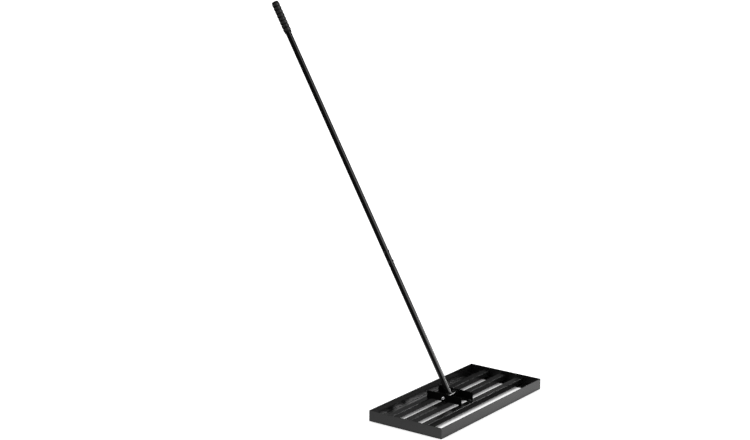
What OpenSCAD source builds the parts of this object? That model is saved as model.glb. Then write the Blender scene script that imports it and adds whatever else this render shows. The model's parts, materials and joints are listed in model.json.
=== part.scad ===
// Lawn leveling rake: an angle-steel head with cross slats, and a long handle that tilts
// on a bolt between two brackets.
// The origin is on the ground, under the middle of the front rail's inward leg.
// +X runs along the head, +Y points to the user and +Z points up.

/* [Head frame] */
// Length of the head from end to end
head_length = 762; // [600:2:1000]
// Depth of the head from front to rear
head_depth = 356; // [320:2:460]
// Height of the upright leg of the angle rails
rail_height = 46; // [40:1:60]
// Thickness of the angle rails
rail_wall = 3; // [2:0.5:5]
// Width of the inward leg of the angle rails, wall included
flange_width = 40; // [24:1:50]
// Rounding of the inner toe of each leg
toe_radius = 1.5; // [0.5:0.1:1.9]
// Rounding of the inner root between the legs
root_radius = 3; // [1:0.5:4]

/* [Slats] */
// Width of a slat
slat_width = 30; // [26:1:44]
// Height of a slat
slat_height = 25; // [20:1:28]
// Wall of the slat tube
slat_wall = 1.5; // [1:0.1:2.4]
// Outer corner radius of the slat tube
slat_corner = 2.6; // [2.5:0.1:5]
// Spacing of the slats, centre to centre
slat_pitch = 86; // [70:1:110]
// How far the middle slat lies behind the middle of the head
slat_shift = 7; // [-20:1:20]

/* [Brackets] */
// Place of the brackets and the handle along the head, from its middle
bracket_x = -46; // [-150:1:150]
// Clear width between the two bracket plates
bracket_gap = 83; // [70:1:120]
// Height of a bracket plate
bracket_height = 34; // [30:1:50]
// Thickness of the bracket sheet
bracket_sheet = 3; // [2:0.5:4]
// Width of the inward foot, sheet included
bracket_foot = 24; // [20:1:30]
// Reach of each bracket end over the outer slats
bracket_lap = 15; // [14:1:24]
// Outer radius of the bend between plate and foot
bracket_bend = 5; // [4.5:0.5:8]
// Rounding of the free corners
bracket_corner = 4; // [1:0.5:8]

/* [Bracket screws] */
// Shank diameter of a bracket screw
screw_d = 6; // [4:0.5:7]
// Length of a bracket screw under its head
screw_length = 14; // [11:0.5:18]
// Diameter of the button head
screw_head_d = 10.5; // [9:0.5:12]
// Height of the button head
screw_head_h = 3.3; // [2.5:0.1:5]
// Width across the flats of the hex socket
screw_socket = 4; // [3:0.5:5]
// Width across the flats of the captive nut
screw_nut_width = 10; // [9:0.5:12]
// Height of the captive nut
screw_nut_h = 5; // [4:0.5:7]
// Room around a screw in its hole
screw_room = 0.2; // [0.1:0.05:0.5]

/* [Pivot] */
// Shank diameter of the pivot bolt
bolt_d = 8; // [6:0.5:10]
// Diameter of the bolt head
bolt_head_d = 13; // [12:0.5:17]
// Height of the bolt head
bolt_head_h = 8; // [6:0.5:10]
// Width across the flats of the hex socket
bolt_socket = 6; // [4:0.5:7]
// Room around the bolt in the bracket plates
bolt_room = 0.2; // [0.1:0.05:0.5]
// Thread that stands out of the nut
bolt_tail = 3; // [1:0.5:8]
// Outer diameter of the washer
washer_d = 16; // [15:0.5:20]
// Thickness of the washer
washer_h = 1.6; // [1:0.1:2.5]
// Width across the flats of the nut
nut_width = 13; // [12:0.5:17]
// Height of the hexagon of the nut
nut_h = 6.5; // [5:0.5:9]
// Diameter of the round collar that locks the nut
nut_collar_d = 11.4; // [10.5:0.1:12]
// Height of the round collar
nut_collar_h = 1.8; // [1:0.1:3]
// Outer diameter of the sleeve that turns on the bolt
sleeve_d = 27; // [26:0.1:29]
// Wall of the sleeve
sleeve_wall = 1.5; // [1:0.1:3]
// Thickness of a bushing's flange
bushing_flange = 2; // [1:0.1:4]
// Length of a bushing's spigot inside the sleeve
bushing_spigot = 14; // [8:0.5:20]
// Radial running clearance between bushing and bolt
running_room = 0.06; // [0.02:0.01:0.1]
// Clearance between a bushing's flange and its bracket plate
side_room = 0.3; // [0.2:0.05:1]
// Room between the sleeve and the feet of the brackets
foot_room = 1; // [0.5:0.1:3]

/* [Handle] */
// Length from the pivot to the end of the grip
handle_length = 1834; // [1500:2:2000]
// Lean of the handle from upright, towards the user
handle_tilt = 30.25; // [15:0.05:45]
// Outer diameter of both tubes
tube_d = 25; // [22:0.1:25.6]
// Wall of both tubes
tube_wall = 1.2; // [1:0.1:2]
// Slip clearance between the two tubes
slip_room = 0.3; // [0.1:0.05:0.5]
// Length from the pivot to the lower end of the upper tube
joint_height = 590; // [400:5:800]
// Length of the lower tube's neck inside the upper tube
joint_overlap = 90; // [70:1:150]
// Length over which the lower tube is swaged down to its neck
swage_length = 8; // [4:1:20]
// Gap at the welded saddle between tube and sleeve
weld_gap = 0.1; // [0.05:0.05:0.3]
// Shank diameter of a joint bolt
joint_bolt_d = 6; // [5:0.5:7]
// Diameter of the joint bolt's button head
joint_head_d = 10.5; // [9:0.5:12]
// Height of the joint bolt's button head
joint_head_h = 3.3; // [2.5:0.1:5]
// Width across the flats of its hex socket
joint_socket = 4; // [3:0.5:4.5]
// Width across the flats of its nut
joint_nut_width = 10; // [9:0.5:12]
// Height of its nut
joint_nut_h = 5; // [4:0.5:7]
// Room around a joint bolt in its holes
joint_room = 0.2; // [0.1:0.05:0.5]

/* [Grip] */
// Length of the grip
grip_length = 148; // [110:1:200]
// Diameter over the ribs
grip_d = 33; // [31.5:0.5:38]
// Diameter in the grooves
grip_groove_d = 30; // [28.6:0.1:31]
// Number of ribs
grip_ribs = 8; // [4:1:9]
// Width of a rib
rib_width = 11; // [6:0.5:12]
// Rounding of a rib's edges
rib_round = 1.2; // [0.4:0.1:1.3]
// Plain length at each end of the ribbed part
grip_plain = 7; // [4:0.5:12]
// Rounding of the closed end
grip_end_round = 5; // [2:0.5:8]
// Thickness of the closed end
grip_end = 6; // [3:0.5:10]
// Room between grip and tube
grip_room = 0.05; // [0.02:0.01:0.2]

/* [Hidden] */
$fn = 64;

// How far a cutting shape runs past the face it cuts
overrun = 1;

// Colours of the finishes
coat_black = "#222324";
bracket_black = "#111213";
zinc = "#c9ccd0";
nylon_black = "#17181a";
rubber_black = "#1d1d1f";

// Places along the depth of the head
front_face = -flange_width / 2;
rear_face = front_face + head_depth;
head_middle = (rear_face + front_face) / 2;
slat_y = head_middle + slat_shift;
slat_length = head_length - 2 * rail_wall;

// The slats are at half the height of the rails
slat_base = (rail_height - slat_height) / 2;
slat_top = slat_base + slat_height;

// The brackets stand on the slats, and their ends lap the outer slats
bracket_length = 2 * (slat_pitch - slat_width / 2 + bracket_lap);
plate_face = bracket_gap / 2 + bracket_sheet;
screw_y = slat_pitch - slat_width / 2 + bracket_lap / 2;
screw_x = bracket_gap / 2 - (bracket_foot - bracket_sheet) / 2;
foot_top = slat_top + bracket_sheet;
pivot_rise = bracket_sheet + foot_room + sleeve_d / 2;
pivot_z = slat_top + pivot_rise;

// Depths of the hex sockets, as shares of the head heights
socket_depth_share = 0.55;
// Rounding of a socket head's rim, as a share of its height
head_round_share = 0.15;
// Height of the straight rim of a button head, as a share of its height
button_rim_share = 0.25;

// The sleeve and its bushings fill the width between the plates
sleeve_length = bracket_gap - 2 * (bushing_flange + side_room);
nut_face = plate_face + washer_h;
bolt_end = nut_face + nut_h + nut_collar_h + bolt_tail;

// The upper tube slips over the neck of the lower one
tube_bore_d = tube_d - 2 * tube_wall;
neck_d = tube_bore_d - 2 * slip_room;
upper_tube_top = handle_length - grip_end;
// Heights of the joint bolts, as shares of the overlap
joint_bolt_shares = [0.25, 0.75];
joint_tail = joint_nut_h + joint_room;

// Ribs are spread evenly over the part of the grip between its plain ends
rib_pitch = (grip_length - 2 * grip_plain) / grip_ribs;

// Width across the corners of a hexagon, from its width across the flats
function corner_d(flats) = flats / cos(30);

// Carries a shape to a height above the ground at the middle of the brackets
module between_brackets(height) {
    translate([bracket_x, slat_y, height])
        children();
}

// Carries a shape from the upright handle to its place on the head
module on_handle() {
    between_brackets(pivot_z)
        rotate([-handle_tilt, 0, 0])
            children();
}

// Turns a shape that stands along +Z so that it points along +X
module along_x() {
    rotate([0, 90, 0])
        children();
}

// Carries a shape that stands along +Z onto the pivot's axis, that far along it
module at_pivot(along) {
    between_brackets(pivot_z)
        translate([along, 0, 0])
            along_x()
                children();
}

// Rectangle with round corners, centred on the origin
module round_rect(width, height, corner) {
    square([width - 2 * corner, height], center = true);
    square([width, height - 2 * corner], center = true);
    for (x = [-1, 1], y = [-1, 1])
        translate([x * (width / 2 - corner), y * (height / 2 - corner)])
            circle(corner);
}

// Rectangle from the origin whose far upper corner is round
module toed_leg(width, height, corner) {
    square([width - corner, height]);
    square([width, height - corner]);
    translate([width - corner, height - corner])
        circle(corner);
}

// Angle section: heel at the origin, one leg along +X and one along +Y
module angle_section() {
    toed_leg(flange_width, rail_wall, toe_radius);
    toed_leg(rail_wall, rail_height, toe_radius);
    translate([rail_wall, rail_wall])
        difference() {
            square(root_radius);
            translate([root_radius, root_radius])
                circle(root_radius);
        }
}

// Angle rail along X with mitred ends, its outer face on Y = 0 and its flange towards +Y
module angle_rail(length) {
    half = length / 2;
    intersection() {
        translate([-half, 0, 0])
            rotate([90, 0, 90])
                linear_extrude(length)
                    angle_section();
        linear_extrude(rail_height)
            polygon([
                [-half, 0], [half, 0],
                [half - flange_width, flange_width], [-half + flange_width, flange_width]
            ]);
    }
}

module front_rail() {
    color(coat_black)
        translate([0, front_face, 0])
            angle_rail(head_length);
}

module rear_rail() {
    color(coat_black)
        translate([0, rear_face, 0])
            rotate(180)
                angle_rail(head_length);
}

module left_end_rail() {
    color(coat_black)
        translate([-head_length / 2, head_middle, 0])
            rotate(-90)
                angle_rail(head_depth);
}

module right_end_rail() {
    color(coat_black)
        translate([head_length / 2, head_middle, 0])
            rotate(90)
                angle_rail(head_depth);
}

// Slat tube along X between the end rails, at its place in the head
module slat(side) {
    inner_corner = slat_corner - slat_wall;
    translate([-slat_length / 2, slat_y + side * slat_pitch, slat_base + slat_height / 2])
        rotate([90, 0, 90])
            linear_extrude(slat_length)
                difference() {
                    round_rect(slat_width, slat_height, slat_corner);
                    round_rect(slat_width - 2 * slat_wall, slat_height - 2 * slat_wall, inner_corner);
                }
}

// Outer slat: its top wall takes the screws of both brackets
module outer_slat(side) {
    difference() {
        slat(side);
        between_brackets(slat_top - slat_wall - overrun)
            for (x = [-1, 1])
                translate([x * screw_x, side * screw_y, 0])
                    cylinder(h = slat_wall + 2 * overrun, d = screw_d + 2 * screw_room);
    }
}

module front_slat() {
    color(coat_black)
        outer_slat(-1);
}

module middle_slat() {
    color(coat_black)
        slat(0);
}

module rear_slat() {
    color(coat_black)
        outer_slat(1);
}

// Bent section of a bracket: outer face on X = 0, underside on Y = 0, foot towards +X
module bracket_section() {
    translate([bracket_bend, 0])
        square([bracket_foot - bracket_bend, bracket_sheet]);
    translate([0, bracket_bend])
        square([bracket_sheet, bracket_height - bracket_bend]);
    intersection() {
        square(bracket_bend);
        translate([bracket_bend, bracket_bend])
            difference() {
                circle(bracket_bend);
                circle(bracket_bend - bracket_sheet);
            }
    }
}

// Rectangle standing on Y = 0, centred in X, whose two upper corners are round
module tab(width, height, corner) {
    translate([-width / 2, 0])
        square([width, height - corner]);
    translate([-width / 2 + corner, 0])
        square([width - 2 * corner, height]);
    for (side = [-1, 1])
        translate([side * (width / 2 - corner), height - corner])
            circle(corner);
}

// Bracket with its outer face on X = 0 and its underside on the ground
module bracket() {
    difference() {
        intersection() {
            translate([0, bracket_length / 2, 0])
                rotate([90, 0, 0])
                    linear_extrude(bracket_length)
                        bracket_section();
            union() {
                rotate([90, 0, 90])
                    linear_extrude(bracket_bend)
                        tab(bracket_length, bracket_height, bracket_corner);
                rotate(-90)
                    linear_extrude(bracket_bend)
                        tab(bracket_length, bracket_foot, bracket_corner);
            }
        }
        translate([-overrun, 0, pivot_rise])
            along_x()
                cylinder(h = bracket_sheet + 2 * overrun, d = bolt_d + 2 * bolt_room);
        for (y = [-1, 1])
            translate([plate_face - screw_x, y * screw_y, -overrun])
                cylinder(h = bracket_sheet + 2 * overrun, d = screw_d + 2 * screw_room);
    }
}

module left_bracket() {
    color(bracket_black)
        between_brackets(slat_top)
            translate([-plate_face, 0, 0])
                bracket();
}

module right_bracket() {
    color(bracket_black)
        between_brackets(slat_top)
            mirror([1, 0, 0])
                translate([-plate_face, 0, 0])
                    bracket();
}

// Hex socket cut down into a head whose top is at Z = 0
module hex_socket(flats, depth) {
    translate([0, 0, -depth])
        cylinder(h = depth + overrun, d = corner_d(flats), $fn = 6);
}

// Button-head bolt pointing down, with its head seated on Z = 0
module button_bolt(shank_d, length, head_d, head_h, flats) {
    rim = button_rim_share * head_h;
    dome_rise = head_h - rim;
    dome_radius = (pow(head_d / 2, 2) + pow(dome_rise, 2)) / (2 * dome_rise);
    difference() {
        intersection() {
            cylinder(h = head_h, d = head_d);
            translate([0, 0, head_h - dome_radius])
                sphere(dome_radius);
        }
        translate([0, 0, head_h])
            hex_socket(flats, socket_depth_share * head_h);
    }
    translate([0, 0, -length])
        cylinder(h = length, d = shank_d);
}

// Hexagonal nut standing on Z = 0
module hex_nut(flats, height, bore_d) {
    difference() {
        cylinder(h = height, d = corner_d(flats), $fn = 6);
        translate([0, 0, -overrun])
            cylinder(h = height + 2 * overrun, d = bore_d);
    }
}

// Places a shape at each of the screws that hold the bracket feet
module at_bracket_screws(height) {
    between_brackets(height)
        for (x = [-1, 1], y = [-1, 1])
            translate([x * screw_x, y * screw_y, 0])
                children();
}

module bracket_screws() {
    color(bracket_black)
        at_bracket_screws(foot_top)
            button_bolt(screw_d, screw_length, screw_head_d, screw_head_h, screw_socket);
}

// Nuts held captive under the top walls of the outer slats
module bracket_nuts() {
    color(zinc)
        at_bracket_screws(slat_top - slat_wall - screw_nut_h)
            hex_nut(screw_nut_width, screw_nut_h, screw_d + 2 * screw_room);
}

// Socket-head bolt through both plates and the sleeve, its head on the left plate
module pivot_bolt() {
    rim_round = head_round_share * bolt_head_h;
    color(zinc)
        at_pivot(-plate_face) {
            difference() {
                translate([0, 0, -bolt_head_h])
                    rotate_extrude()
                        difference() {
                            translate([0, bolt_head_h / 2])
                                round_rect(bolt_head_d, bolt_head_h, rim_round);
                            translate([-bolt_head_d, 0])
                                square([bolt_head_d, bolt_head_h]);
                        }
                translate([0, 0, -bolt_head_h])
                    mirror([0, 0, 1])
                        hex_socket(bolt_socket, socket_depth_share * bolt_head_h);
            }
            translate([0, 0, -rim_round])
                cylinder(h = rim_round + plate_face + bolt_end, d = bolt_d);
        }
}

module pivot_washer() {
    color(zinc)
        at_pivot(plate_face)
            difference() {
                cylinder(h = washer_h, d = washer_d);
                translate([0, 0, -overrun])
                    cylinder(h = washer_h + 2 * overrun, d = bolt_d + 2 * bolt_room);
            }
}

// Lock nut: a hexagon with a round collar
module pivot_nut() {
    bore_d = bolt_d + 2 * running_room;
    color(zinc)
        at_pivot(nut_face) {
            hex_nut(nut_width, nut_h, bore_d);
            translate([0, 0, nut_h])
                difference() {
                    cylinder(h = nut_collar_h, d = nut_collar_d);
                    translate([0, 0, -overrun])
                        cylinder(h = nut_collar_h + 2 * overrun, d = bore_d);
                }
        }
}

// Cross sleeve at the foot of the handle, which turns on the pivot bolt
module pivot_sleeve() {
    color(coat_black)
        on_handle()
            along_x()
                difference() {
                    cylinder(h = sleeve_length, d = sleeve_d, center = true);
                    cylinder(h = sleeve_length + 2 * overrun, d = sleeve_d - 2 * sleeve_wall, center = true);
                }
}

// Flanged bushing in one end of the sleeve, drawn for the +X end
module bushing() {
    bore_d = bolt_d + 2 * running_room;
    translate([sleeve_length / 2, 0, 0])
        along_x()
            difference() {
                union() {
                    cylinder(h = bushing_flange, d = sleeve_d);
                    translate([0, 0, -bushing_spigot])
                        cylinder(h = bushing_spigot, d = sleeve_d - 2 * sleeve_wall - 2 * running_room);
                }
                translate([0, 0, -bushing_spigot - overrun])
                    cylinder(h = bushing_spigot + bushing_flange + 2 * overrun, d = bore_d);
            }
}

module left_bushing() {
    color(nylon_black)
        on_handle()
            mirror([1, 0, 0])
                bushing();
}

module right_bushing() {
    color(nylon_black)
        on_handle()
            bushing();
}

// Holes for the joint bolts, across the handle
module joint_holes() {
    hole_length = tube_d + 2 * overrun;
    for (share = joint_bolt_shares)
        translate([0, 0, joint_height + share * joint_overlap])
            along_x()
                cylinder(h = hole_length, d = joint_bolt_d + 2 * joint_room, center = true);
}

// Half section of the lower tube's wall, from the pivot to the end of its swaged neck
module lower_tube_wall() {
    neck_end = joint_height + joint_overlap;
    shoulder = joint_height - swage_length;
    polygon([
        [tube_d / 2, 0], [tube_d / 2, shoulder],
        [neck_d / 2, joint_height], [neck_d / 2, neck_end],
        [neck_d / 2 - tube_wall, neck_end], [neck_d / 2 - tube_wall, joint_height],
        [tube_bore_d / 2, shoulder], [tube_bore_d / 2, 0]
    ]);
}

// Lower tube: its foot is cut to a saddle that fits round the sleeve
module lower_tube() {
    color(coat_black)
        on_handle()
            difference() {
                rotate_extrude()
                    lower_tube_wall();
                along_x()
                    cylinder(h = sleeve_length, d = sleeve_d + 2 * weld_gap, center = true);
                joint_holes();
            }
}

module upper_tube() {
    length = upper_tube_top - joint_height;
    color(coat_black)
        on_handle()
            difference() {
                translate([0, 0, joint_height])
                    difference() {
                        cylinder(h = length, d = tube_d);
                        translate([0, 0, -overrun])
                            cylinder(h = length + 2 * overrun, d = tube_bore_d);
                    }
                joint_holes();
            }
}

// Places a shape at each joint bolt, pointing along +X
module at_joint_bolts() {
    on_handle()
        for (share = joint_bolt_shares)
            translate([0, 0, joint_height + share * joint_overlap])
                along_x()
                    children();
}

// Button-head bolts across the tube joint, their heads on the left
module joint_bolts() {
    seat = tube_d / 2 + running_room;
    length = 2 * seat + joint_tail;
    color(bracket_black)
        at_joint_bolts()
            translate([0, 0, -seat])
                mirror([0, 0, 1])
                    button_bolt(joint_bolt_d, length, joint_head_d, joint_head_h, joint_socket);
}

module joint_nuts() {
    color(bracket_black)
        at_joint_bolts()
            translate([0, 0, tube_d / 2 + running_room])
                hex_nut(joint_nut_width, joint_nut_h, joint_bolt_d + 2 * running_room);
}

// Half outline of the ribbed grip, standing on Y = 0
module grip_outline() {
    groove_r = grip_groove_d / 2;
    intersection() {
        round_end_half(groove_r, grip_length);
        square([grip_d, grip_length]);
    }
    for (i = [0 : grip_ribs - 1])
        translate([0, grip_plain + (i + 1 / 2) * rib_pitch])
            intersection() {
                round_rect(grip_d, rib_width, rib_round);
                translate([0, -rib_width])
                    square([grip_d, 2 * rib_width]);
            }
}

// Half of a bar outline whose top corner is round
module round_end_half(radius, height) {
    square([radius, height - grip_end_round]);
    square([radius - grip_end_round, height]);
    translate([radius - grip_end_round, height - grip_end_round])
        circle(grip_end_round);
}

module grip() {
    color(rubber_black)
        on_handle()
            translate([0, 0, handle_length - grip_length])
                difference() {
                    rotate_extrude()
                        grip_outline();
                    translate([0, 0, -overrun])
                        cylinder(h = grip_length - grip_end + overrun, d = tube_d + 2 * grip_room);
                }
}

front_rail();
rear_rail();
left_end_rail();
right_end_rail();
front_slat();
middle_slat();
rear_slat();
left_bracket();
right_bracket();
bracket_screws();
bracket_nuts();
pivot_bolt();
pivot_washer();
pivot_nut();
pivot_sleeve();
left_bushing();
right_bushing();
lower_tube();
upper_tube();
joint_bolts();
joint_nuts();
grip();
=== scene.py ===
"""Looks of the lawn leveling rake: finishes, weld beads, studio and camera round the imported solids."""
import json
import math

import bpy
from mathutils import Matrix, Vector


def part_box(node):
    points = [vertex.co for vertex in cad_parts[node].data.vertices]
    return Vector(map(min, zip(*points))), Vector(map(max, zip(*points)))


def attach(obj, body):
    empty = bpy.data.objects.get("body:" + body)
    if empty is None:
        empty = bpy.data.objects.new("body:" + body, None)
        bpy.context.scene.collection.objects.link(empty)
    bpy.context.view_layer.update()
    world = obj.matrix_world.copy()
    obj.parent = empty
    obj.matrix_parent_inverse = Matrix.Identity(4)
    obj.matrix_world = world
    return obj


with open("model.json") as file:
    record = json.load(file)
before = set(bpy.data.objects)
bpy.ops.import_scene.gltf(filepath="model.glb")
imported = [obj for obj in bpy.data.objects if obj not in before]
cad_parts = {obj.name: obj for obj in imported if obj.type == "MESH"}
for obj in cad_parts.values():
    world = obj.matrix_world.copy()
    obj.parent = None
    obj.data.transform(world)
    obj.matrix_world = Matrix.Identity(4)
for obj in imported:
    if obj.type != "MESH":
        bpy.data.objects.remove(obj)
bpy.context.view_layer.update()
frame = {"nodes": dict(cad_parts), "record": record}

MM = 0.001
QUARTER_TURN = math.radians(90.0)

# Camera, fitted to the head's corners and the handle's line in the photograph
CAMERA_PLACE = Vector((-5.384, -3.3875, 2.280))
CAMERA_AIM = Vector((0.0013, 0.5887, 0.7368))
CAMERA_LENS = 77.44
CAMERA_SENSOR = 36.0

# Studio: white floor and backdrop, lit in a pool round the rake; levels of 1 are white
FLOOR_SPAN = 80.0
FLOOR_DROP = 0.2 * MM
FLOOR_COLOUR = (0.88, 0.88, 0.88, 1.0)
FLOOR_GLOW = 0.60
SHADE_GLOW = 0.04
SHADE_REACH = 50.0 * MM
SHADE_RANGE = (0.22, 0.70)
SHADE_SAMPLES = 16
WORLD_COLOUR = (1.0, 1.0, 1.0, 1.0)
WORLD_FILL = 0.85
BACKDROP_WHITE = 1.0

# The floor in reflections: brighter to the right front, dim far off, shaded inside the frame
# and more so in the frame's front gap
POOL_EDGE = (0.62, 1.10)
POOL_FAR_SHARE = 0.12
LEAN_FROM = (-0.62, 0.45)
LEAN_LEVEL = (0.78, 1.33)
FRAME_EDGE = (-12.0 * MM, 0.0)
FRAME_FROM = (-0.35, 0.20)
FRAME_LEVEL = (0.34, 0.18)
FRONT_GAP = (-0.10, -0.05)
FRONT_GAP_SHARE = 0.5
CONTACT_RANGE = (0.3, 0.8)
CONTACT_SHARE = 0.4

# A dark canopy that only reflections see, pale on its right front side
CANOPY_RADIUS = 3.2
CANOPY_MIDDLE = Vector((0.0, 0.4, 0.0))
CANOPY_RINGS = 12
CANOPY_SIDES = 32
CANOPY_LEVEL = 0.04
PALE_LEVEL = 1.76
PALE_RISE = (-132.0, -95.0)
PALE_FALL = (-65.0, -30.0)
PALE_LOW = (0.55, 0.95)
PALE_LOW_GAIN = 1.5
PALE_TOP = (0.96, 0.99)

# A pale card behind the head, mirrored in the left half of the slats
CARD_PLACE = Vector((0.40, 0.85, 0.34))
CARD_AIM = Vector((-0.22, 0.20, 0.03))
CARD_WIDTH = 0.50
CARD_HEIGHT = 0.36
CARD_FROM = (0.05, 0.17)
CARD_LEVEL = (0.11, 0.44)

# A narrow pale card at the right, placed so that the front slat's top alone mirrors it
FRONT_CARD_FOOT = (Vector((0.58, 0.68, 0.385)), Vector((0.868, 0.404, 0.213)))
FRONT_CARD_RISE = Vector((0.0, 0.0, 0.12))
FRONT_CARD_LEVEL = (0.36, 0.20)

# Key softbox at the right front
KEY_PLACE = Vector((2.05, -1.25, 1.0))
KEY_AIM = Vector((-0.10, 0.25, 0.05))
KEY_SIDE = 0.5
KEY_POWER = 12.0

# Small lamp at the left that lights the pivot bolt alone
BOLT_LAMP_PLACE = Vector((-0.86, 0.57, 0.16))
BOLT_LAMP_SIDE = 0.30
BOLT_LAMP_POWER = 5.0

# Powder grain: noise scales per metre, each with its detail
PEEL_PER_M = 500.0
PEEL_DETAIL = 2.0
GRAIN_PER_M = 2400.0
GRAIN_DETAIL = 1.0
GRAIN_SHARE = 0.35
MOTTLE_PER_M = 14.0
MOTTLE_DETAIL = 5.0
MOTTLE_RANGE = (0.3, 0.7)
ROUGH_SPREAD = 0.03

# Worn edges, broken up where the coat still holds; on the rubber grip the lighter edges are partly a
# painted highlight
EDGE_WIDTH = 0.8 * MM
EDGE_SAMPLES = 6
EDGE_RANGE = (0.02, 0.2)
EDGE_POLISH = 0.12
BREAKUP_PER_M = 160.0
BREAKUP_DETAIL = 4.0
BREAKUP_RANGE = (0.42, 0.62)

# Dust on faces that look up
DUST_PER_M = 30.0
DUST_DETAIL = 6.0
DUST_FACING = (0.3, 1.0)
DUST_RANGE = (0.35, 0.75)
DUST_GREY = 0.10

# Zinc plate: each grey with its lean to blue
ZINC_DARK = (0.62, 0.01)
ZINC_LIGHT = (0.76, 0.015)
ZINC_WORN = (0.85, 0.01)
ZINC_ROUGH = (0.26, 0.40)
ZINC_EDGE_WIDTH = 0.4 * MM
ZINC_PEEL = 0.01 * MM
ZINC_PEEL_PER_M = 900.0
ZINC_MOTTLE_PER_M = 180.0

# Grip: duller in the grooves and darkened there as painted shade; the lighter crowns of the ribs are
# partly wear and partly a painted highlight
GROOVE_RADIUS = 15.3 * MM
CROWN_RADIUS = 16.3 * MM
GROOVE_SHADE_GREY = 0.001
GROOVE_DULLNESS = 0.5

# Weld beads: round runs with a ripple for each step of the weld
WELD_FINISH = "matte_black_coat"
WELD_RADIUS = 1.8 * MM
WELD_PITCH = 2.6 * MM
WELD_RINGS = 4
WELD_SIDES = 10
WELD_RIPPLE = 0.14
WELD_DRIFT = 0.07
WELD_DRIFT_TURN = 0.37
WELD_END_SHARES = (0.45, 0.8)
SLAT_CORNER = 2.6 * MM
SLAT_CORNER_STEPS = 6
SLAT_WELD_FOOT = 3.0 * MM
CORNER_WELD_TOP = 2.5 * MM
MITRE_WELD_DROP = 0.9 * MM
MITRE_WELD_SHORT = 2.0 * MM
SADDLE_STEPS = 72
SADDLE_OVERLAP = 4


def make_node(tree, kind, inputs=None, **settings):
    """Adds a node; inputs are values or sockets by socket name or number."""
    node = tree.nodes.new(kind)
    for name, value in settings.items():
        setattr(node, name, value)
    for name, value in (inputs or {}).items():
        if isinstance(value, bpy.types.NodeSocket):
            tree.links.new(value, node.inputs[name])
        else:
            node.inputs[name].default_value = value
    return node


def make_material(name):
    """A new material and its node tree."""
    material = bpy.data.materials.new(name)
    material.use_nodes = True
    return material, material.node_tree


def make_mesh(name, points, faces):
    mesh = bpy.data.meshes.new(name)
    mesh.from_pydata(points, [], faces)
    return mesh


def make_object(name, data):
    """A new piece, lamp or camera in the scene."""
    made = bpy.data.objects.new(name, data)
    bpy.context.scene.collection.objects.link(made)
    return made


def make_group(name, inputs, outputs):
    """A shader node group with float inputs and the given outputs; returns the tree and its two ends."""
    tree = bpy.data.node_groups.new(name, "ShaderNodeTree")
    for socket, value in inputs.items():
        made = tree.interface.new_socket(socket, in_out="INPUT", socket_type="NodeSocketFloat")
        made.default_value = value
    for socket, kind in outputs.items():
        tree.interface.new_socket(socket, in_out="OUTPUT", socket_type=kind)
    return tree, tree.nodes.new("NodeGroupInput"), tree.nodes.new("NodeGroupOutput")


def maths(tree, operation, a, b=0.0, clamp=False):
    node = make_node(tree, "ShaderNodeMath", {0: a, 1: b}, operation=operation, use_clamp=clamp)
    return node.outputs[0]


def vector_maths(tree, operation, *vectors):
    """The vector of an operation, or its number for a dot product or a length."""
    node = make_node(tree, "ShaderNodeVectorMath", dict(enumerate(vectors)), operation=operation)
    return node.outputs["Value" if operation in ("DOT_PRODUCT", "LENGTH") else "Vector"]


def remap(tree, value, low, high, to_low=0.0, to_high=1.0):
    """A value carried from one range to another and held inside it."""
    node = make_node(
        tree,
        "ShaderNodeMapRange",
        {"Value": value, "From Min": low, "From Max": high, "To Min": to_low, "To Max": to_high},
    )
    return node.outputs["Result"]


def noise_at(tree, vector, scale, detail):
    node = make_node(tree, "ShaderNodeTexNoise", {"Vector": vector, "Scale": scale, "Detail": detail})
    return node.outputs[0]


def object_place(tree):
    return tree.nodes.new("ShaderNodeTexCoord").outputs["Object"]


def powder_grain_group():
    """Orange peel with fine grain, and the mottle, of a baked powder coat."""
    tree, given, result = make_group(
        "powder_grain",
        {"Peel per m": PEEL_PER_M, "Grain per m": GRAIN_PER_M, "Mottle per m": MOTTLE_PER_M},
        {"Height": "NodeSocketFloat", "Mottle": "NodeSocketFloat"},
    )
    place = object_place(tree)
    peel = noise_at(tree, place, given.outputs["Peel per m"], PEEL_DETAIL)
    grain = noise_at(tree, place, given.outputs["Grain per m"], GRAIN_DETAIL)
    mottle = noise_at(tree, place, given.outputs["Mottle per m"], MOTTLE_DETAIL)
    fine = maths(tree, "MULTIPLY", grain, GRAIN_SHARE)
    tree.links.new(maths(tree, "ADD", peel, fine), result.inputs["Height"])
    tree.links.new(remap(tree, mottle, *MOTTLE_RANGE), result.inputs["Mottle"])
    return tree


def outer_edge_group():
    """Mask of the outer edges, broken up where the coat still holds: wear, and on the rubber grip partly
    a painted highlight.
    """
    tree, given, result = make_group(
        "outer_edge",
        {"Edge m": EDGE_WIDTH, "Breakup per m": BREAKUP_PER_M},
        {"Mask": "NodeSocketFloat", "Normal": "NodeSocketVector"},
    )
    rounded = make_node(
        tree, "ShaderNodeBevel", {"Radius": given.outputs["Edge m"]}, samples=EDGE_SAMPLES
    ).outputs["Normal"]
    flat = tree.nodes.new("ShaderNodeNewGeometry").outputs["Normal"]
    turned = maths(tree, "SUBTRACT", 1.0, vector_maths(tree, "DOT_PRODUCT", rounded, flat))
    edge = remap(tree, turned, *EDGE_RANGE)
    breakup = noise_at(tree, object_place(tree), given.outputs["Breakup per m"], BREAKUP_DETAIL)
    bare = remap(tree, breakup, *BREAKUP_RANGE)
    tree.links.new(maths(tree, "MULTIPLY", edge, bare), result.inputs["Mask"])
    tree.links.new(rounded, result.inputs["Normal"])
    return tree


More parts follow.
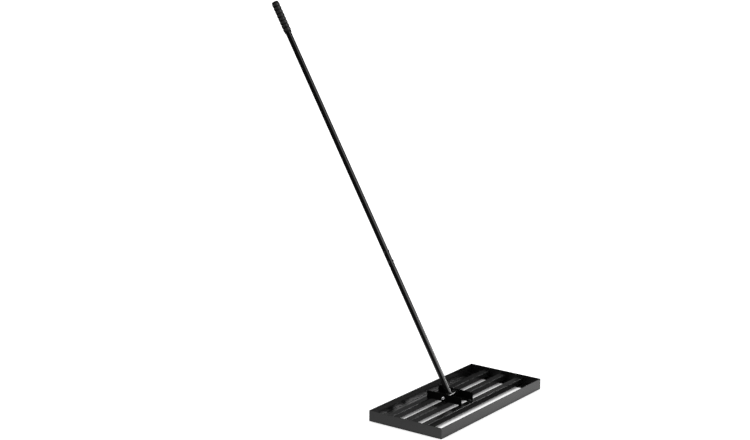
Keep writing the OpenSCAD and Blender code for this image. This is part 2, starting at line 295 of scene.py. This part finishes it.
def settled_dust_group():
    """Thin dust on faces that look up."""
    tree, given, result = make_group(
        "settled_dust", {"Patch per m": DUST_PER_M}, {"Mask": "NodeSocketFloat"}
    )
    facing = tree.nodes.new("ShaderNodeNewGeometry").outputs["Normal"]
    up = make_node(tree, "ShaderNodeSeparateXYZ", {0: facing}).outputs["Z"]
    patch = noise_at(tree, object_place(tree), given.outputs["Patch per m"], DUST_DETAIL)
    mask = maths(tree, "MULTIPLY", remap(tree, up, *DUST_FACING), remap(tree, patch, *DUST_RANGE))
    tree.links.new(mask, result.inputs["Mask"])
    return tree


POWDER_GRAIN = powder_grain_group()
OUTER_EDGE = outer_edge_group()
SETTLED_DUST = settled_dust_group()


def use_group(tree, group, inputs=None):
    return make_node(tree, "ShaderNodeGroup", inputs, node_tree=group)


def mix_colour(tree, share, first, second):
    """The first colour, carried towards the second by the share."""
    node = make_node(tree, "ShaderNodeMix", data_type="RGBA")
    sockets = {"Factor_Float": share, "A_Color": first, "B_Color": second}
    for name, value in sockets.items():
        socket = next(s for s in node.inputs if s.identifier == name)
        if isinstance(value, bpy.types.NodeSocket):
            tree.links.new(value, socket)
        else:
            socket.default_value = value
    return next(s for s in node.outputs if s.identifier == "Result_Color")


def grey(level, tint=0.0):
    """A grey that leans a little to blue by tint."""
    return (level, level, level + tint, 1.0)


def add_peel(tree, shader, grain, edge, distance):
    """Orange peel on the surface, over its rounded edges."""
    bump = make_node(
        tree,
        "ShaderNodeBump",
        {"Height": grain.outputs["Height"], "Normal": edge.outputs["Normal"], "Distance": distance},
    )
    tree.links.new(bump.outputs["Normal"], shader.inputs["Normal"])


def black_finish(name, dark, light, rough, edge_grey, edge_share, dust_share, peel, specular):
    """Black coat, nylon or rubber with peel, mottle, lighter edges and a breath of dust; the lighter
    edges are wear, and on the rubber grip partly a painted highlight.
    """
    material, tree = make_material(name)
    shader = tree.nodes["Principled BSDF"]
    grain = use_group(tree, POWDER_GRAIN)
    edge = use_group(tree, OUTER_EDGE)
    dust = use_group(tree, SETTLED_DUST)

    coat = mix_colour(tree, grain.outputs["Mottle"], grey(dark), grey(light))
    # Lighter edges: wear of the coat, and on the rubber grip partly a painted highlight on the ribs
    lightened_edge = maths(tree, "MULTIPLY", edge.outputs["Mask"], edge_share)
    edged = mix_colour(tree, lightened_edge, coat, grey(edge_grey))
    settled = maths(tree, "MULTIPLY", dust.outputs["Mask"], dust_share)
    dusted = mix_colour(tree, settled, edged, grey(DUST_GREY))
    tree.links.new(dusted, shader.inputs["Base Color"])

    uneven = remap(tree, grain.outputs["Mottle"], 0.0, 1.0, rough - ROUGH_SPREAD, rough + ROUGH_SPREAD)
    rubbed = maths(tree, "MULTIPLY", lightened_edge, -EDGE_POLISH)
    tree.links.new(maths(tree, "ADD", uneven, rubbed, clamp=True), shader.inputs["Roughness"])
    add_peel(tree, shader, grain, edge, peel)
    shader.inputs["Specular IOR Level"].default_value = specular
    return material


def satin_black_coat():
    """Powder coat of the rails and slats."""
    return black_finish(
        "satin_black_coat", dark=0.006, light=0.009, rough=0.20, edge_grey=0.03, edge_share=0.5,
        dust_share=0.05, peel=0.025 * MM, specular=0.5,
    )


def matte_black_coat():
    """Coat of the brackets and the weld beads."""
    return black_finish(
        "matte_black_coat", dark=0.001, light=0.002, rough=0.60, edge_grey=0.02, edge_share=0.4,
        dust_share=0.02, peel=0.05 * MM, specular=0.1,
    )


def tube_black_coat():
    """Semi-gloss coat of the handle's tubes and sleeve."""
    return black_finish(
        "tube_black_coat", dark=0.002, light=0.003, rough=0.18, edge_grey=0.03, edge_share=0.4,
        dust_share=0.02, peel=0.02 * MM, specular=0.5,
    )


def black_screw():
    """Black oxide of the bracket screws and the joint's bolts and nuts."""
    return black_finish(
        "black_screw", dark=0.014, light=0.022, rough=0.38, edge_grey=0.16, edge_share=0.7,
        dust_share=0.02, peel=0.01 * MM, specular=0.5,
    )


def black_nylon():
    """Moulded nylon of the bushings."""
    return black_finish(
        "black_nylon", dark=0.012, light=0.016, rough=0.50, edge_grey=0.04, edge_share=0.2,
        dust_share=0.02, peel=0.02 * MM, specular=0.4,
    )


def handle_line():
    """The pivot and the direction from it up the handle."""
    pivot = Vector(frame["record"]["behaviour"]["joints"][0]["pos_m"])
    tube_low, tube_high = (Vector(corner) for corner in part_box("upper_tube"))
    return pivot, ((tube_low + tube_high) / 2 - pivot).normalized()


def crown_mask(tree):
    """One on the crowns of the grip's ribs and none in its grooves."""
    pivot, upward = handle_line()
    place = vector_maths(tree, "SUBTRACT", object_place(tree), pivot)
    along = vector_maths(tree, "PROJECT", place, upward)
    radius = vector_maths(tree, "LENGTH", vector_maths(tree, "SUBTRACT", place, along))
    return remap(tree, radius, GROOVE_RADIUS, CROWN_RADIUS)


def black_rubber():
    """Moulded rubber of the grip, duller in the grooves and darkened there as painted shade, with light
    edges on the ribs that are partly wear and partly a painted highlight.
    """
    # The light edge grey at nine tenths share is partly wear and partly a painted highlight on the rib
    # crowns
    material = black_finish(
        "black_rubber", dark=0.018, light=0.026, rough=0.25, edge_grey=0.14, edge_share=0.9,
        dust_share=0.04, peel=0.03 * MM, specular=0.5,
    )
    tree = material.node_tree
    shader = tree.nodes["Principled BSDF"]
    crown = crown_mask(tree)
    rubber = shader.inputs["Base Color"].links[0].from_socket
    # Near-black grey in the grooves: painted shade between the ribs
    tree.links.new(mix_colour(tree, crown, grey(GROOVE_SHADE_GREY), rubber), shader.inputs["Base Color"])
    rough = shader.inputs["Roughness"].links[0].from_socket
    dull = remap(tree, crown, 0.0, 1.0, GROOVE_DULLNESS, 0.0)
    tree.links.new(maths(tree, "ADD", rough, dull, clamp=True), shader.inputs["Roughness"])
    return material


def zinc():
    """Bright zinc plate on the pivot bolt and its fasteners, with clouded patches."""
    material, tree = make_material("zinc")
    shader = tree.nodes["Principled BSDF"]
    scales = {"Peel per m": ZINC_PEEL_PER_M, "Mottle per m": ZINC_MOTTLE_PER_M}
    grain = use_group(tree, POWDER_GRAIN, scales)
    edge = use_group(tree, OUTER_EDGE, {"Edge m": ZINC_EDGE_WIDTH})
    plate = mix_colour(tree, grain.outputs["Mottle"], grey(*ZINC_DARK), grey(*ZINC_LIGHT))
    bright = mix_colour(tree, edge.outputs["Mask"], plate, grey(*ZINC_WORN))
    tree.links.new(bright, shader.inputs["Base Color"])
    clouded = remap(tree, grain.outputs["Mottle"], 0.0, 1.0, *ZINC_ROUGH)
    tree.links.new(clouded, shader.inputs["Roughness"])
    add_peel(tree, shader, grain, edge, ZINC_PEEL)
    shader.inputs["Metallic"].default_value = 1.0
    return material


FINISHES = {
    "satin_black_coat": satin_black_coat(),
    "matte_black_coat": matte_black_coat(),
    "tube_black_coat": tube_black_coat(),
    "black_screw": black_screw(),
    "zinc": zinc(),
    "black_nylon": black_nylon(),
    "black_rubber": black_rubber(),
}


def dress(piece, finish):
    piece.data.materials.clear()
    piece.data.materials.append(FINISHES[finish])


for subpart in frame["record"]["subparts"]:
    dress(frame["nodes"][subpart["node"]], subpart["material_slot"])


def even_points(path, step):
    """Points spaced evenly along a line of corner points."""
    spaced = [path[0]]
    ahead = step
    for start, end in zip(path, path[1:]):
        length = (end - start).length
        while ahead <= length:
            spaced.append(start.lerp(end, ahead / length))
            ahead += step
        ahead -= length
    return spaced


def weld_bead(name, path, body):
    """Rippled bead along a path, with its ends drawn in."""
    middles = even_points(path, WELD_PITCH / WELD_RINGS)
    last = len(middles) - 1
    points = []
    across = None
    for index, middle in enumerate(middles):
        along = (middles[min(index + 1, last)] - middles[max(index - 1, 0)]).normalized()
        across = along.orthogonal() if across is None else across - along * across.dot(along)
        across.normalize()
        up = along.cross(across)
        ripple = WELD_RIPPLE * math.sin(math.pi * (index % WELD_RINGS) / WELD_RINGS)
        drift = WELD_DRIFT * math.sin(WELD_DRIFT_TURN * index)
        radius = WELD_RADIUS * (1.0 + ripple + drift)
        from_end = min(index, last - index)
        if from_end < len(WELD_END_SHARES):
            radius *= WELD_END_SHARES[from_end]
        for side in range(WELD_SIDES):
            turn = math.tau * side / WELD_SIDES
            points.append(middle + radius * (math.cos(turn) * across + math.sin(turn) * up))
    faces = [tuple(reversed(range(WELD_SIDES))), tuple(range(last * WELD_SIDES, len(points)))]
    for index in range(last):
        for side in range(WELD_SIDES):
            here = index * WELD_SIDES + side
            beside = index * WELD_SIDES + (side + 1) % WELD_SIDES
            faces.append((here, beside, beside + WELD_SIDES, here + WELD_SIDES))
    mesh = make_mesh(name, points, faces)
    mesh.shade_smooth()
    mesh.materials.append(FINISHES[WELD_FINISH])
    bead = make_object(name, mesh)
    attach(bead, body)


def slat_end_welds():
    """Beads over the front, top and rear of each slat, where it meets the end rails."""
    for slat in ("front_slat", "middle_slat", "rear_slat"):
        low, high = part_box(slat)
        front, rear = low[1] + SLAT_CORNER, high[1] - SLAT_CORNER
        top = high[2] - SLAT_CORNER
        outline = [(low[1], low[2] + SLAT_WELD_FOOT)]
        for centre, start in ((front, 2 * QUARTER_TURN), (rear, QUARTER_TURN)):
            for step in range(SLAT_CORNER_STEPS + 1):
                turn = start - QUARTER_TURN * step / SLAT_CORNER_STEPS
                across, up = SLAT_CORNER * math.cos(turn), SLAT_CORNER * math.sin(turn)
                outline.append((centre + across, top + up))
        outline.append((high[1], low[2] + SLAT_WELD_FOOT))
        for side, end in (("left", low[0]), ("right", high[0])):
            path = [Vector((end, y, z)) for y, z in outline]
            weld_bead(f"{slat}_{side}_weld", path, "head")


def frame_corner_welds():
    """Beads up the inner corners of the frame and along the mitres of the inward legs."""
    slat_low, slat_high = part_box("middle_slat")
    end_low, end_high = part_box("left_end_rail")
    wall = slat_low[0] - end_low[0]
    leg = end_high[0] - end_low[0]
    mitre = leg - wall - MITRE_WELD_SHORT
    leg_top = end_low[2] + wall
    rows = (("front", end_low[1] + wall, 1.0), ("rear", end_high[1] - wall, -1.0))
    for side, inner_x, inward_x in (("left", slat_low[0], 1.0), ("right", slat_high[0], -1.0)):
        for row, inner_y, inward_y in rows:
            corner = Vector((inner_x, inner_y, leg_top))
            top = Vector((inner_x, inner_y, end_high[2] - CORNER_WELD_TOP))
            weld_bead(f"{row}_{side}_corner_weld", [corner, top], "head")
            start = corner - Vector((0.0, 0.0, MITRE_WELD_DROP))
            end = start + mitre * Vector((inward_x, inward_y, 0.0))
            weld_bead(f"{row}_{side}_mitre_weld", [start, end], "head")


def saddle_weld():
    """Bead round the foot of the lower tube, along its saddle on the sleeve."""
    pivot, upward = handle_line()
    tube_low, tube_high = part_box("upper_tube")
    sleeve_low, sleeve_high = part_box("pivot_sleeve")
    sideways = Vector((1.0, 0.0, 0.0))
    forward = upward.cross(sideways)
    tube_radius = (tube_high[0] - tube_low[0]) / 2
    sleeve_radius = (sleeve_high[1] - sleeve_low[1]) / 2
    path = []
    for step in range(SADDLE_STEPS + SADDLE_OVERLAP + 1):
        turn = math.tau * step / SADDLE_STEPS
        out = tube_radius * math.sin(turn)
        rise = math.sqrt(sleeve_radius ** 2 - out ** 2)
        path.append(pivot + tube_radius * math.cos(turn) * sideways + out * forward + rise * upward)
    weld_bead("saddle_weld", path, "handle")


slat_end_welds()
frame_corner_welds()
saddle_weld()


def background_ray(tree):
    """One where the camera looks, directly or in a reflection or through a clear piece."""
    ray = tree.nodes.new("ShaderNodeLightPath").outputs
    seen = maths(tree, "MAXIMUM", ray["Is Camera Ray"], ray["Is Glossy Ray"])
    return maths(tree, "MAXIMUM", seen, ray["Is Transmission Ray"])


def product(tree, *values):
    """All the values multiplied together."""
    total = values[0]
    for value in values[1:]:
        total = maths(tree, "MULTIPLY", total, value)
    return total


def floor_in_reflections(tree, openness):
    """Level of the floor as the coat mirrors it."""
    head_low, head_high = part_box("left_end_rail")[0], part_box("right_end_rail")[1]
    middle = (head_low + head_high) / 2
    half = (head_high - head_low) / 2
    offset = vector_maths(tree, "SUBTRACT", object_place(tree), (middle.x, middle.y, 0.0))
    far = vector_maths(tree, "LENGTH", offset)
    axes = make_node(tree, "ShaderNodeSeparateXYZ", {0: offset}).outputs
    beside = maths(tree, "SUBTRACT", maths(tree, "ABSOLUTE", axes["X"]), half.x)
    before = maths(tree, "SUBTRACT", maths(tree, "ABSOLUTE", axes["Y"]), half.y)
    outside = remap(tree, maths(tree, "MAXIMUM", beside, before), *FRAME_EDGE)
    open_level = remap(tree, maths(tree, "SUBTRACT", axes["X"], axes["Y"]), *LEAN_FROM, *LEAN_LEVEL)
    frame_level = product(
        tree,
        remap(tree, axes["X"], *FRAME_FROM, *FRAME_LEVEL),
        remap(tree, axes["Y"], *FRONT_GAP, FRONT_GAP_SHARE, 1.0),
    )
    more = maths(tree, "MULTIPLY", maths(tree, "SUBTRACT", open_level, frame_level), outside)
    return product(
        tree,
        maths(tree, "ADD", frame_level, more),
        remap(tree, far, *POOL_EDGE, 1.0, POOL_FAR_SHARE),
        remap(tree, openness, *CONTACT_RANGE, CONTACT_SHARE, 1.0),
    )


def pale_floor():
    """White floor that keeps the rake's shadow, with its own level in reflections."""
    half = FLOOR_SPAN / 2
    corners = [(-half, -half), (half, -half), (half, half), (-half, half)]
    points = [(x, y, -FLOOR_DROP) for x, y in corners]
    mesh = make_mesh("pale_floor", points, [range(len(points))])
    material, tree = make_material("pale_floor")
    tree.nodes.clear()
    ray = tree.nodes.new("ShaderNodeLightPath").outputs
    seen = maths(tree, "MAXIMUM", ray["Is Camera Ray"], ray["Is Transmission Ray"])
    openness = make_node(
        tree, "ShaderNodeAmbientOcclusion", {"Distance": SHADE_REACH}, samples=SHADE_SAMPLES
    ).outputs["AO"]
    surface = make_node(tree, "ShaderNodeBsdfDiffuse", {"Color": FLOOR_COLOUR})
    level = maths(tree, "MULTIPLY", seen, remap(tree, openness, *SHADE_RANGE, SHADE_GLOW, FLOOR_GLOW))
    glow = make_node(tree, "ShaderNodeEmission", {"Strength": level})
    lit = make_node(tree, "ShaderNodeAddShader", {0: surface.outputs[0], 1: glow.outputs[0]})
    mirrored = make_node(tree, "ShaderNodeEmission", {"Strength": floor_in_reflections(tree, openness)})
    either = make_node(
        tree, "ShaderNodeMixShader", {0: ray["Is Glossy Ray"], 1: lit.outputs[0], 2: mirrored.outputs[0]}
    )
    make_node(tree, "ShaderNodeOutputMaterial", {"Surface": either.outputs[0]})
    mesh.materials.append(material)
    floor = make_object("pale_floor", mesh)


def studio_world():
    """White backdrop, with an even fill on the rake."""
    world = bpy.data.worlds.new("studio_world")
    bpy.context.scene.world = world
    world.use_nodes = True
    tree = world.node_tree
    sky = tree.nodes["Background"]
    sky.inputs["Color"].default_value = WORLD_COLOUR
    level = remap(tree, background_ray(tree), 0.0, 1.0, WORLD_FILL, BACKDROP_WHITE)
    tree.links.new(level, sky.inputs["Strength"])


def set_up(made, place, aim):
    """Puts a card, lamp or camera in its place and turns it to what it aims at."""
    made.location = place
    made.rotation_mode = "QUATERNION"
    made.rotation_quaternion = (aim - place).to_track_quat("-Z", "Y")


def studio_glow(name):
    """A glow for a piece of the studio: its material, node tree and strength socket."""
    material, tree = make_material(name)
    tree.nodes.clear()
    glow = make_node(tree, "ShaderNodeEmission")
    make_node(tree, "ShaderNodeOutputMaterial", {"Surface": glow.outputs[0]})
    return material, tree, glow.inputs["Strength"]


def reflected_only(name, mesh):
    """A piece of the studio that shows in reflections alone."""
    piece = make_object(name, mesh)
    piece.visible_camera = False
    piece.visible_diffuse = False
    piece.visible_shadow = False
    piece.visible_transmission = False
    return piece


def canopy_glow():
    """Dark all round, with a pale side that fades towards the back and the top."""
    material, tree, strength = studio_glow("dark_canopy")
    axes = make_node(tree, "ShaderNodeSeparateXYZ", {0: object_place(tree)}).outputs
    turn = maths(tree, "DEGREES", maths(tree, "ARCTAN2", axes["Y"], axes["X"]))
    rise = maths(tree, "DIVIDE", axes["Z"], CANOPY_RADIUS)
    pale = product(
        tree,
        PALE_LEVEL,
        remap(tree, turn, *PALE_RISE),
        remap(tree, turn, *PALE_FALL, 1.0, 0.0),
        remap(tree, rise, *PALE_LOW, PALE_LOW_GAIN, 1.0),
        remap(tree, rise, *PALE_TOP, 1.0, 0.0),
    )
    tree.links.new(maths(tree, "ADD", pale, CANOPY_LEVEL), strength)
    return material


def dark_canopy():
    """Half a dome over the rake: dark, so the black coat stays black, with one pale side."""
    points = []
    faces = []
    for ring in range(CANOPY_RINGS):
        rise = QUARTER_TURN * ring / CANOPY_RINGS
        reach, height = CANOPY_RADIUS * math.cos(rise), CANOPY_RADIUS * math.sin(rise)
        for side in range(CANOPY_SIDES):
            turn = math.tau * side / CANOPY_SIDES
            points.append((reach * math.cos(turn), reach * math.sin(turn), height))
    top = len(points)
    points.append((0.0, 0.0, CANOPY_RADIUS))
    for ring in range(CANOPY_RINGS):
        for side in range(CANOPY_SIDES):
            here = ring * CANOPY_SIDES + side
            beside = ring * CANOPY_SIDES + (side + 1) % CANOPY_SIDES
            if ring + 1 < CANOPY_RINGS:
                faces.append((here, beside, beside + CANOPY_SIDES, here + CANOPY_SIDES))
            else:
                faces.append((here, beside, top))
    mesh = make_mesh("dark_canopy", points, faces)
    mesh.materials.append(canopy_glow())
    reflected_only("dark_canopy", mesh).location = CANOPY_MIDDLE


def fading_glow(name, axis, span, levels):
    """A glow that fades along one axis of its card."""
    material, tree, strength = studio_glow(name)
    place = make_node(tree, "ShaderNodeSeparateXYZ", {0: object_place(tree)}).outputs[axis]
    tree.links.new(remap(tree, place, *span, *levels), strength)
    return material


def front_slat_card():
    """Narrow pale card at the right, mirrored in the top of the front slat."""
    near, far = FRONT_CARD_FOOT
    points = [near, far, far + FRONT_CARD_RISE, near + FRONT_CARD_RISE]
    mesh = make_mesh("front_slat_card", points, [range(len(points))])
    mesh.materials.append(fading_glow("front_slat_card", "X", (near.x, far.x), FRONT_CARD_LEVEL))
    reflected_only("front_slat_card", mesh)


def slat_card():
    """Pale card behind the head, mirrored in the left half of the slats."""
    across = CARD_WIDTH / 2
    up = CARD_HEIGHT / 2
    points = [(-across, -up, 0.0), (across, -up, 0.0), (across, up, 0.0), (-across, up, 0.0)]
    mesh = make_mesh("slat_card", points, [range(len(points))])
    mesh.materials.append(fading_glow("slat_card", "Y", CARD_FROM, CARD_LEVEL))
    set_up(reflected_only("slat_card", mesh), CARD_PLACE, CARD_AIM)


def soft_lamp(name, place, aim, side, power):
    """A square softbox that the camera doesn't see."""
    data = bpy.data.lights.new(name, "AREA")
    data.shape = "RECTANGLE"
    data.size = side
    data.size_y = side
    data.energy = power
    lamp = make_object(name, data)
    set_up(lamp, place, aim)
    lamp.visible_camera = False
    return lamp


def bolt_lamp():
    """Lights the bright head of the pivot bolt and nothing else."""
    bolt = frame["nodes"]["pivot_bolt"]
    head_end, far_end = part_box("pivot_bolt")
    aim = Vector((head_end.x, (head_end.y + far_end.y) / 2, (head_end.z + far_end.z) / 2))
    lamp = soft_lamp("bolt_lamp", BOLT_LAMP_PLACE, aim, BOLT_LAMP_SIDE, BOLT_LAMP_POWER)
    lit = bpy.data.collections.new("lit_by_bolt_lamp")
    lit.objects.link(bolt)
    lamp.light_linking.receiver_collection = lit


def photo_camera():
    """The camera of the photograph."""
    data = bpy.data.cameras.new("photo_camera")
    data.lens = CAMERA_LENS
    data.sensor_width = CAMERA_SENSOR
    data.sensor_fit = "HORIZONTAL"
    camera = make_object("photo_camera", data)
    set_up(camera, CAMERA_PLACE, CAMERA_AIM)
    bpy.context.scene.camera = camera


pale_floor()
studio_world()
dark_canopy()
slat_card()
front_slat_card()
soft_lamp("key_lamp", KEY_PLACE, KEY_AIM, KEY_SIDE, KEY_POWER)
bolt_lamp()
photo_camera()

bpy.context.scene.view_settings.view_transform = "Standard"
